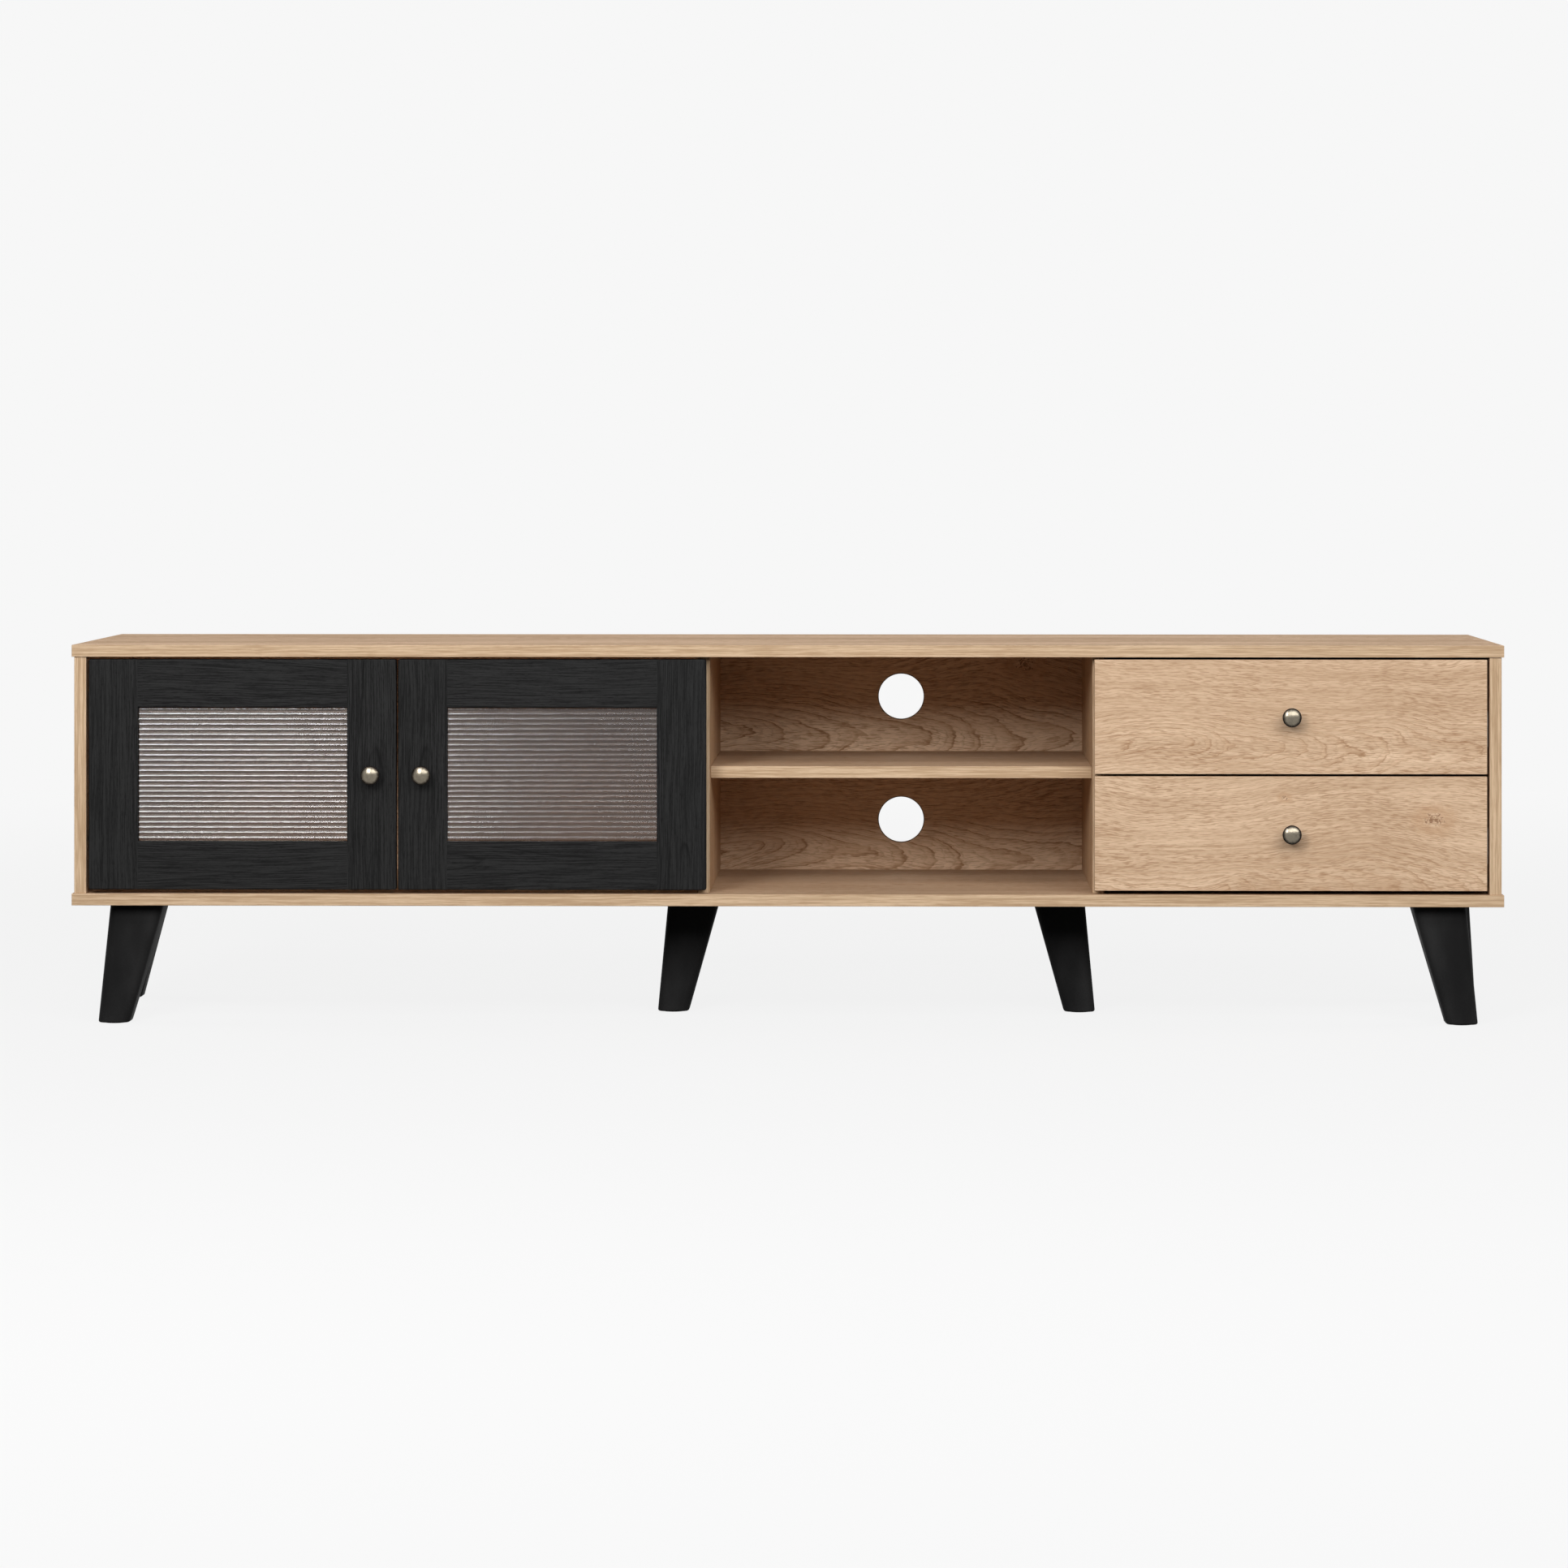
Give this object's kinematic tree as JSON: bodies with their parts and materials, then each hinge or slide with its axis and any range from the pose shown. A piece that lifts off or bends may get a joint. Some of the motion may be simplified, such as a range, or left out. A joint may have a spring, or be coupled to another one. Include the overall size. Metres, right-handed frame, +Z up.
{
  "type": "media cabinet",
  "caption": "Low oak-look media cabinet on splayed black legs, with reeded glass doors on one side, an open shelved bay with cable holes, and drawers on the other.",
  "frame": {"origin": "On the floor under the middle of the whole box, knobs included.", "axes": "+X to the cabinet's right as seen from the front, +Y to its back, +Z up."},
  "size_m": [1.8, 0.422, 0.478],
  "materials": {
    "oak_board": "light oak-look laminated board with a satin face",
    "oak_hardboard": "thin board with an oak-look printed face",
    "drawer_board": "oak-look laminated board, satin",
    "black_board": "black embossed woodgrain laminate, satin",
    "reeded_glass": "clear pane with level half-round ribs",
    "bead_plastic": "black glazing bead",
    "leg_plastic": "black moulded plastic, fine matt",
    "glide_plastic": "dark grey plastic glide",
    "knob_metal": "antique nickel with darkened hollows",
    "zinc_steel": "bright zinc-plated steel",
    "dowel_wood": "plain beech"
  },
  "bodies": {
    "carcass": {"top_panel": "oak_board", "bottom_panel": "oak_board", "left_side_panel": "oak_board", "right_side_panel": "oak_board", "left_divider": "oak_board", "right_divider": "oak_board", "centre_shelf": "oak_board", "left_back_panel": "oak_hardboard", "centre_back_panel": "oak_hardboard", "right_back_panel": "oak_hardboard", "carcass_fasteners": "zinc_steel", "carcass_dowels": "dowel_wood", "front_left_leg": "leg_plastic", "front_right_leg": "leg_plastic", "middle_left_leg": "leg_plastic", "middle_right_leg": "leg_plastic", "rear_left_leg": "leg_plastic", "rear_right_leg": "leg_plastic", "leg_bolts_and_inserts": "zinc_steel", "leg_glides": "glide_plastic", "hinge_arms": "zinc_steel", "hinge_plates": "zinc_steel", "cabinet_rails": "zinc_steel", "hardware_screws": "zinc_steel"},
    "left_door": {"left_door_hinge_stile": "black_board", "left_door_meeting_stile": "black_board", "left_door_top_rail": "black_board", "left_door_bottom_rail": "black_board", "left_door_glass": "reeded_glass", "left_door_glazing_beads": "bead_plastic", "left_door_hinge_cups": "zinc_steel", "left_door_knob": "knob_metal", "left_door_screws": "zinc_steel"},
    "right_door": {"right_door_hinge_stile": "black_board", "right_door_meeting_stile": "black_board", "right_door_top_rail": "black_board", "right_door_bottom_rail": "black_board", "right_door_glass": "reeded_glass", "right_door_glazing_beads": "bead_plastic", "right_door_hinge_cups": "zinc_steel", "right_door_knob": "knob_metal", "right_door_screws": "zinc_steel"},
    "upper_drawer": {"upper_drawer_front": "oak_board", "upper_drawer_left_side": "drawer_board", "upper_drawer_right_side": "drawer_board", "upper_drawer_back": "drawer_board", "upper_drawer_bottom": "oak_hardboard", "upper_drawer_rails": "zinc_steel", "upper_drawer_knob": "knob_metal", "upper_drawer_fixings": "zinc_steel"},
    "upper_drawer_middle_rails": {"upper_drawer_middle_rails": "zinc_steel"},
    "lower_drawer": {"lower_drawer_front": "oak_board", "lower_drawer_left_side": "drawer_board", "lower_drawer_right_side": "drawer_board", "lower_drawer_back": "drawer_board", "lower_drawer_bottom": "oak_hardboard", "lower_drawer_rails": "zinc_steel", "lower_drawer_knob": "knob_metal", "lower_drawer_fixings": "zinc_steel"},
    "lower_drawer_middle_rails": {"lower_drawer_middle_rails": "zinc_steel"}
  },
  "joints": [
    {"name": "left_door_hinge", "type": "hinge", "parent": "carcass", "child": "left_door", "pos_m": [-0.871, -0.1806, 0.315], "axis": [0, 0, -1], "range_deg": [0, 95]},
    {"name": "right_door_hinge", "type": "hinge", "parent": "carcass", "child": "right_door", "pos_m": [-0.109, -0.1806, 0.315], "axis": [0, 0, 1], "range_deg": [0, 95]},
    {"name": "upper_drawer_slide", "type": "slide", "parent": "carcass", "child": "upper_drawer", "axis": [0, -1, 0], "range_m": [0, 0.3]},
    {"name": "upper_drawer_middle_slide", "type": "slide", "parent": "carcass", "child": "upper_drawer_middle_rails", "axis": [0, -1, 0], "range_m": [0, 0.15]},
    {"name": "lower_drawer_slide", "type": "slide", "parent": "carcass", "child": "lower_drawer", "axis": [0, -1, 0], "range_m": [0, 0.3]},
    {"name": "lower_drawer_middle_slide", "type": "slide", "parent": "carcass", "child": "lower_drawer_middle_rails", "axis": [0, -1, 0], "range_m": [0, 0.15]}
  ],
  "couplings": [
    {"joint": "upper_drawer_middle_slide", "follows": "upper_drawer_slide", "ratio": 0.5},
    {"joint": "lower_drawer_middle_slide", "follows": "lower_drawer_slide", "ratio": 0.5}
  ]
}
